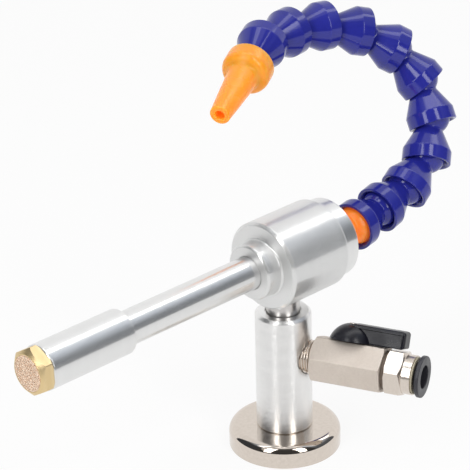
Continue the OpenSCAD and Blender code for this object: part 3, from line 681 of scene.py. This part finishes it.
# %% Silencer hexagon
hex_front, silencer_back, _ = reach("silencer_body", tube_frame)
silencer_af = 15.0
silencer_turn = 28
silencer_thread_r = sleeve_thread_r - tube_gap
disc_r = 6.25
disc_seat = 1.5
silencer_bore_r = 4.75
nut = hexagon(silencer_af, hex_front, sleeve_front, silencer_turn,
              low_land=0.9, high_land=-0.5, chamfer=42)
print("silencer hexagon", round(sleeve_front - hex_front, 2), "mm long")
shank = turned([(0, sleeve_front - 1), (silencer_thread_r, sleeve_front - 1),
                (silencer_thread_r, silencer_back), (0, silencer_back)])
nut = combine(nut, shank, "UNION")
seat = turned([(0, hex_front - 1), (disc_r + tube_gap, hex_front - 1),
               (disc_r + tube_gap, hex_front + disc_seat), (silencer_bore_r, hex_front + disc_seat),
               (silencer_bore_r, silencer_back + 1), (0, silencer_back + 1)])
nut = combine(nut, seat, "DIFFERENCE")
finish_piece("silencer_nut", nut, tube_frame, brass, "brass", "silencer_body", smooth=25)

# %% Sintered disc
disc_front, disc_back, disc_r = reach("silencer_disc", tube_frame)
bead_r = 0.34
bead_pitch = 0.56
bead_shift = 0.09
bead_sink = 0.22
plate_front = disc_front + bead_r * 1.4
plate = turned([(0, disc_back), (disc_r, disc_back), (disc_r, plate_front), (0, plate_front)], 64)
draw = random.Random(7)
rows = int(disc_r / bead_pitch) + 2
for row in range(-rows, rows + 1):
    for place in range(-rows, rows + 1):
        x = (place + 0.5 * (row % 2)) * bead_pitch + draw.uniform(-bead_shift, bead_shift)
        y = row * bead_pitch * math.cos(math.radians(30)) + draw.uniform(-bead_shift, bead_shift)
        sink = draw.uniform(0.0, bead_sink)
        if math.hypot(x, y) > disc_r - bead_r * 0.9:
            continue
        centre = Matrix.Translation((x * MM, y * MM, (disc_front + bead_r + sink) * MM))
        bmesh.ops.create_icosphere(plate, subdivisions=2, radius=bead_r * MM, matrix=centre)
finish_piece("bronze_disc", plate, tube_frame, bronze, "sintered_bronze", "silencer_disc")

# %% [markdown]
# ## Hose
# Every link is the same moulding: a collar whose flared socket snaps over a ball, a cone, a waist and the
# next ball. One outline makes them all. The link is built once for each place, because its place has to be
# in its mesh. The adaptor carries the first ball. The nozzle's cup ends in a round shoulder that runs into
# the spout by a fillet, and its mouth is flared to leave room for the bend.

# %% Hose sizes
_, ball_end, collar_r = reach("hose_link_01", hose_frames["hose_link_01"])
link_pitch = (hose_points[1] - hose_points[0]).length / MM
ball_r = 7.15
ball_cut = ball_end - link_pitch
socket_r = 7.2
mouth = -3.2
lip = -1.8
collar_end = 1.45
rim_wall = 1.0
waist_r = 5.1
waist_to_ball = 5.6
waist_end = link_pitch - waist_to_ball


def ball_outline(centre):
    """The ball's outline from its waist to its cut end."""
    start = -math.degrees(math.acos(waist_r / ball_r))
    end = math.degrees(math.asin(ball_cut / ball_r))
    return arc((0, centre), ball_r, start, end, 20)


def socket_outline(rim_r, mouth_z):
    """The socket's outline from its bore to its flared mouth."""
    start = math.degrees(math.acos(hose_bore_r / socket_r))
    end = math.degrees(math.asin(lip / socket_r))
    return arc((0, 0), socket_r, start, end, 16) + [(rim_r, mouth_z)]


print("link pitch", round(link_pitch, 2), "ball cut", round(ball_cut, 2))

# %% Hose links
for node in link_nodes:
    link = turned([(collar_r, mouth), (collar_r, collar_end), (waist_r, waist_end)] + ball_outline(link_pitch)
                  + [(hose_bore_r, ball_end)] + socket_outline(collar_r - rim_wall, mouth), 96)
    soften(link, 0.3, sharp=20, segments=3)
    finish_piece(node.replace("hose", "blue"), link, hose_frames[node], blue_plastic, "blue_plastic", node)

# %% Hose adaptor
adaptor_low, adaptor_end, adaptor_r = reach("hose_adaptor", tube_frame)
adaptor_ball = hose_points[0].x / MM
adaptor_thread_r = 6.6
adaptor_shoulder = cap_back + 3.0
adaptor = turned([(hose_bore_r, adaptor_low), (adaptor_thread_r, adaptor_low), (adaptor_thread_r, cap_back),
                  (adaptor_r, cap_back), (adaptor_r, adaptor_shoulder),
                  (waist_r, adaptor_ball - waist_to_ball)]
                 + ball_outline(adaptor_ball) + [(hose_bore_r, adaptor_end)], 96)
soften(adaptor, 0.3, sharp=20, segments=3)
finish_piece("orange_adaptor", adaptor, tube_frame, adaptor_plastic, "orange_plastic", "hose_adaptor")

# %% Nozzle
_, spout_end, cup_r = reach("nozzle", hose_frames["nozzle"])
cup_len = 2.0
cup_mouth = -2.8
cup_rim = 0.75
spout_root_r = 5.6
spout_tip_r = 3.65
outlet_r = 1.75
shoulder_r = cup_r - spout_root_r
fillet_r = 2.0
fillet_z = cup_len + math.sqrt((shoulder_r + fillet_r) ** 2 - fillet_r ** 2)
meet = math.degrees(math.acos(fillet_r / (shoulder_r + fillet_r)))
shoulder = arc((spout_root_r, cup_len), shoulder_r, 0, meet, 12)
fillet = arc((spout_root_r + fillet_r, fillet_z), fillet_r, 180 + meet, 180, 8)[1:]
nozzle = turned([(cup_r, cup_mouth)] + shoulder + fillet + [(spout_tip_r, spout_end), (outlet_r, spout_end),
                (outlet_r, spout_end - 2 * outlet_r)]
                + socket_outline(cup_r - cup_rim, cup_mouth), 96)
soften(nozzle, 0.45, sharp=20, segments=4)
finish_piece("orange_spout", nozzle, hose_frames["nozzle"], orange_plastic, "orange_plastic", "nozzle")

# %% [markdown]
# ## Ball valve
# The valve is cut from hexagon bar. Its inlet end is turned down and threaded, and a real thread shows as a
# helix, so a small ridge is spun round the nose while it moves along: a spin with a step is a screw.

# %% Valve body
inlet_front, valve_front, _ = reach("valve_body", valve_frame)
valve_af = 15.4
valve_back = 12.2
valve_chamber_r = 5.6
valve_bore_r = 3.0
stem_v = (stem_frame.translation - valve_frame.translation).length / MM
valve_chamber_back = stem_v - 6.6
stem_hole_r = 3.0
thread_root_r = 5.45
valve = hexagon(valve_af, valve_back, valve_front, low_land=0.1, high_land=-0.5)
nose = turned([(0, inlet_front), (thread_root_r, inlet_front), (thread_root_r, valve_back + 1),
               (0, valve_back + 1)])
valve = combine(valve, nose, "UNION")
bore = turned([(0, inlet_front - 1), (valve_bore_r, inlet_front - 1), (valve_bore_r, valve_chamber_back),
               (valve_chamber_r, valve_chamber_back), (valve_chamber_r, valve_front + 1),
               (0, valve_front + 1)])
valve = combine(valve, bore, "DIFFERENCE")
gland = turned([(0, 0), (stem_hole_r, 0), (stem_hole_r, valve_af), (0, valve_af)], 48)
gland.transform(valve_frame.inverted() @ stem_frame)
valve = combine(valve, gland, "DIFFERENCE")
finish_piece("valve_hexagon", valve, valve_frame, nickel_bar, "nickel_brass", "valve_body", smooth=25)

# %% Inlet thread
thread_crest_r = 6.0
thread_pitch = 1.0
thread_start = inlet_front + 0.3
thread_turns = int((valve_back - 0.2 - thread_start) / thread_pitch)
turn_steps = 48
thread = bmesh.new()
ridge_root = thread_root_r - 0.1
ridge = [(ridge_root, -0.45), (thread_crest_r, -0.08), (thread_crest_r, 0.08), (ridge_root, 0.45)]
section = [thread.verts.new((r * MM, 0, (thread_start + 0.5 + z) * MM)) for r, z in ridge]
cap_face = thread.faces.new(section)
bmesh.ops.spin(thread, geom=[cap_face], cent=(0, 0, 0), axis=(0, 0, 1), angle=math.tau * thread_turns,
               steps=turn_steps * thread_turns, dvec=(0, 0, thread_pitch / turn_steps * MM))
bmesh.ops.remove_doubles(thread, verts=thread.verts, dist=WELD)
bmesh.ops.recalc_face_normals(thread, faces=thread.faces)
finish_piece("inlet_thread", thread, valve_frame, nickel_fitting, "nickel_brass", body="stand")

# %% [markdown]
# ## Lever
# The lever is one black moulding: a dome over the stem, and a tall arm whose sides have a sunken panel
# inside a rim. The arm starts as a cube, its sides are inset and pushed in, its edges bevelled. A Boolean
# joins it to the dome.

# %% Lever
lever_foot, lever_top, _ = reach("lever", stem_frame)
hub_r = 8.0
arm_half = 3.5
arm_reach = 20.2
arm_round = 1.2
panel_rim = 0.4
panel_depth = 0.5
lever_h = lever_top - lever_foot
dome_inset = 0.03
dome_h = lever_h - 2 * dome_inset
dome_r = (hub_r ** 2 + dome_h ** 2) / (2 * dome_h)
dome_start = math.degrees(math.acos(hub_r / dome_r))
dome_foot = lever_foot + dome_inset
dome = turned([(0, dome_foot)] + arc((0, dome_foot + dome_h - dome_r), dome_r, dome_start, 90, 20), 96)

arm = bmesh.new()
arm_size = Matrix.Diagonal((arm_reach * MM, 2 * arm_half * MM, lever_h * MM, 1))
arm_place = Matrix.Translation((arm_reach / 2 * MM, 0, (lever_foot + lever_h / 2) * MM))
bmesh.ops.create_cube(arm, size=1, matrix=arm_place @ arm_size)
arm.normal_update()
soften(arm, arm_round, segments=4, where=lambda e: all(v.co.x > (arm_reach - 0.01) * MM for v in e.verts)
       or all(v.co.z > (lever_top - 0.01) * MM for v in e.verts))
sides = [f for f in arm.faces if abs(f.normal.y) > 0.99]
bmesh.ops.inset_individual(arm, faces=sides, thickness=panel_rim * MM, depth=0)
for face in sides:
    bmesh.ops.translate(arm, verts=face.verts, vec=-face.normal * panel_depth * MM)
lever = combine(dome, arm, "UNION")
finish_piece("lever_handle", lever, stem_frame, black_plastic, "black_plastic", "lever", smooth=30)

# %% [markdown]
# ## Push-in fitting
# Washer, hexagon, shoulder, olive guide and grey release ring follow each other along the valve's axis.
# Apart from the hexagon they are all turned.

# %% Fitting body
fitting_low, _, _ = reach("fitting_body", valve_frame)
guide_back, guide_front, guide_r = reach("fitting_guide", valve_frame)
fitting_af = 15.0
fitting_hex_back = 39.8
shoulder_front = guide_front - 0.7
fitting_hex_front = 46.0
fitting_thread_r = 5.55
fitting_collar_r = 6.8
fitting_shoulder_r = 7.0
washer_low, washer_front, washer_r = reach("fitting_washer", valve_frame)
fitting_chamber_r = 5.6
fitting_chamber_back = fitting_hex_back + 0.4
fitting = hexagon(fitting_af, fitting_hex_back, fitting_hex_front, low_land=-0.3)
stack = turned([(0, fitting_low), (fitting_thread_r, fitting_low), (fitting_thread_r, washer_front),
                (fitting_collar_r, washer_front), (fitting_collar_r, fitting_hex_back + 1),
                (fitting_shoulder_r, fitting_hex_back + 1), (fitting_shoulder_r, shoulder_front),
                (0, shoulder_front)])
soften(stack, 0.3, segments=3)
fitting = combine(fitting, stack, "UNION")
bore = turned([(0, fitting_low - 1), (valve_bore_r, fitting_low - 1), (valve_bore_r, fitting_chamber_back),
               (fitting_chamber_r, fitting_chamber_back), (fitting_chamber_r, shoulder_front + 1),
               (0, shoulder_front + 1)])
fitting = combine(fitting, bore, "DIFFERENCE")
finish_piece("fitting_hexagon", fitting, valve_frame, nickel_fitting, "nickel_brass", "fitting_body",
             smooth=25)

# %% Washer, guide and release ring
washer = turned([(valve_chamber_r, washer_low), (washer_r, washer_low), (washer_r, washer_front),
                 (valve_chamber_r, washer_front)])
soften(washer, 0.2)
finish_piece("washer_ring", washer, valve_frame, fibre, "fibre", "fitting_washer")

guide_bore_r = 4.75
guide = turned([(guide_bore_r, guide_back), (fitting_chamber_r - tube_gap, guide_back),
                (fitting_chamber_r - tube_gap, shoulder_front), (guide_r, shoulder_front),
                (guide_r, guide_front), (guide_bore_r, guide_front)])
soften(guide, 0.2)
finish_piece("guide_ring", guide, valve_frame, olive_plastic, "olive_plastic", "fitting_guide")

ring_back, ring_front, ring_r = reach("release_ring", valve_frame)
ring_sleeve_r = 4.7
socket_bore_r = mounts["tube_socket"]["dims"]["r_mm"]
ring_flange = ring_front - 1.5
ring = turned([(socket_bore_r, ring_back), (ring_sleeve_r, ring_back), (ring_sleeve_r, ring_flange),
               (ring_r, ring_flange), (ring_r, ring_front), (socket_bore_r, ring_front)])
soften(ring, 0.4, segments=3)
finish_piece("push_ring", ring, valve_frame, grey_plastic, "grey_plastic", "release_ring")

# %% [markdown]
# ## Inner pieces
# What the photograph doesn't show keeps its CAD shape, and gets the finish of the material it is made of.

# %% Finishes of the inner pieces
inner_finishes = {
    ferrite: ["ring_magnet"],
    steel: ["base_screw", "lever_screw", "valve_stem", "valve_ball", "lock_claw"],
    brass: ["control_cone", "valve_retainer"],
    white_plastic: ["seat_inner", "seat_outer"],
    brown_plastic: ["swirl_generator"],
    rubber: ["cap_o_ring", "stem_o_ring", "tube_seal"],
}
for material, nodes in inner_finishes.items():
    for node in nodes:
        mesh = frame["nodes"][node].data
        mesh.materials.clear()
        mesh.materials.append(material)
print("inner pieces:", sum(len(nodes) for nodes in inner_finishes.values()))

# %% [markdown]
# ## Floor, backdrop and light
# The photograph has a white ground. The floor is white too, and the camera and the metal see it nearly
# shadeless, with a little of its real shading left for the contact shadow. The light is a long soft lamp
# overhead and two narrow windows in front, which draw the streaks on the hose. Bright metal shows what
# stands round it, so curved walls that only mirrors see give it a dark cloth behind the camera, cool grey
# at the sides and white at the back.

# %% What sees the bare white


def seen_bare(tree):
    """One for rays from the camera, and for what metal and glass show. Zero for other light."""
    path = add_node(tree, "ShaderNodeLightPath").outputs
    seen = maths(tree, "MAXIMUM", path["Is Camera Ray"], path["Is Glossy Ray"])
    return maths(tree, "MAXIMUM", seen, path["Is Transmission Ray"])


# %% Floor
floor_half = 4.0
floor_bm = bmesh.new()
bmesh.ops.create_grid(floor_bm, x_segments=1, y_segments=1, size=floor_half)
floor_mesh = bpy.data.meshes.new("floor")
floor_bm.to_mesh(floor_mesh)
floor_bm.free()
floor = bpy.data.objects.new("floor", floor_mesh)
bpy.context.scene.collection.objects.link(floor)

SHADELESS = 0.9
floor_material = bpy.data.materials.new("white_floor")
floor_material.use_nodes = True
tree = floor_material.node_tree
tree.nodes.clear()
share = maths(tree, "MULTIPLY", seen_bare(tree), SHADELESS)
matt = add_node(tree, "ShaderNodeBsdfDiffuse", {"Color": (0.9, 0.9, 0.9, 1)})
glow = add_node(tree, "ShaderNodeEmission", {"Color": (1, 1, 1, 1), "Strength": 1.0})
mixed = add_node(tree, "ShaderNodeMixShader", {0: share, 1: matt.outputs[0], 2: glow.outputs[0]})
add_node(tree, "ShaderNodeOutputMaterial", {"Surface": mixed.outputs[0]})
floor_mesh.materials.append(floor_material)
print("floor", 2 * floor_half, "m wide")

# %% World
WORLD_LIGHT = 0.35
world = bpy.data.worlds.new("white_room")
bpy.context.scene.world = world
world.use_nodes = True
tree = world.node_tree
tree.nodes.clear()
levels = {"Value": seen_bare(tree), "To Min": WORLD_LIGHT, "To Max": 1.0}
level = add_node(tree, "ShaderNodeMapRange", levels)
room = add_node(tree, "ShaderNodeBackground", {"Color": (1, 1, 1, 1), "Strength": level.outputs["Result"]})
add_node(tree, "ShaderNodeOutputWorld", {"Surface": room.outputs[0]})
print("world light", WORLD_LIGHT)

# %% Lamps
subject = Vector((0, 0, 0.06))


def soft_lamp(name, place, width, height, brightness):
    """A rectangle of light that faces the subject. Its brightness is what a mirror would show."""
    lamp = bpy.data.lights.new(name, "AREA")
    lamp.shape = "RECTANGLE"
    lamp.size = width
    lamp.size_y = height
    lamp.energy = brightness * math.pi * width * height
    obj = bpy.data.objects.new(name, lamp)
    bpy.context.scene.collection.objects.link(obj)
    obj.visible_camera = False
    facing = (subject - place).to_track_quat("-Z", "Y")
    obj.matrix_world = Matrix.Translation(place) @ facing.to_matrix().to_4x4()
    return obj


def around(azimuth, elevation, distance):
    """A place round the subject, by degrees round from the camera and up from the floor."""
    turn = math.atan2(to_camera.y, to_camera.x) + math.radians(azimuth)
    rise = math.radians(elevation)
    level = math.cos(rise)
    return Vector((math.cos(turn) * level, math.sin(turn) * level, math.sin(rise))) * distance


overhead = soft_lamp("overhead", Vector((0.40, 0.0, 1.0)), 2.1, 0.24, 2.2)
overhead.matrix_world = Matrix.Translation(overhead.location) @ Matrix.Rotation(math.radians(-17), 4, "Z")
soft_lamp("window_left", around(-37, 38, 1.4), 0.36, 1.3, 5.0)
soft_lamp("window_right", around(35, 38, 1.4), 0.36, 1.3, 5.0)
print("lamps:", len(bpy.data.lights))

# %% Walls that only mirrors see
WALL_RADIUS = 1.6
WALL_FOOT = 0.5
WALL_TOP = 74
WALL_ROWS = 12
WALL_STEPS = 48
COOL = (0.80, 0.88, 1.0)


def surround(name, centre, half_angle, fade, foot_level, top_level, tint=(1, 1, 1)):
    """A curved wall that only mirrors see. Its brightness changes between two angles above the floor."""
    bm = bmesh.new()
    rise = [WALL_FOOT + (WALL_TOP - WALL_FOOT) * i / WALL_ROWS for i in range(WALL_ROWS + 1)]
    profile = [bm.verts.new(around(centre - half_angle, angle, WALL_RADIUS)) for angle in rise]
    strip = [bm.edges.new(pair) for pair in zip(profile, profile[1:])]
    bmesh.ops.spin(bm, geom=profile + strip, cent=(0, 0, 0), axis=(0, 0, 1),
                   angle=math.radians(2 * half_angle), steps=WALL_STEPS)
    mesh = bpy.data.meshes.new(name)
    bm.to_mesh(mesh)
    bm.free()
    material = bpy.data.materials.new(name)
    material.use_nodes = True
    tree = material.node_tree
    tree.nodes.clear()
    place = add_node(tree, "ShaderNodeTexCoord").outputs["Object"]
    height = add_node(tree, "ShaderNodeSeparateXYZ", {"Vector": place}).outputs["Z"]
    start, end = (WALL_RADIUS * math.sin(math.radians(angle)) for angle in fade)
    level = add_node(tree, "ShaderNodeMapRange",
                     {"Value": height, "From Min": start, "From Max": end,
                      "To Min": foot_level, "To Max": top_level}, interpolation_type="SMOOTHSTEP")
    glow = add_node(tree, "ShaderNodeEmission", {"Color": (*tint, 1), "Strength": level.outputs["Result"]})
    add_node(tree, "ShaderNodeOutputMaterial", {"Surface": glow.outputs[0]})
    mesh.materials.append(material)
    wall = bpy.data.objects.new(name, mesh)
    bpy.context.scene.collection.objects.link(wall)
    wall.visible_camera = False
    wall.visible_diffuse = False
    wall.visible_shadow = False
    return wall


surround("dark_cloth", 0, 60, (50, 74), 0.05, 0.16)
surround("side_wall_right", 86, 26, (22, 64), 0.14, 0.8, COOL)
surround("side_wall_left", -86, 26, (44, 66), 0.06, 0.6, COOL)
surround("back_wall", 180, 68, (20, 70), 1.0, 0.92)
print("walls round the set:", 4)

# %% [markdown]
# ## Size
# The dressed part has to stay the size of the solids.
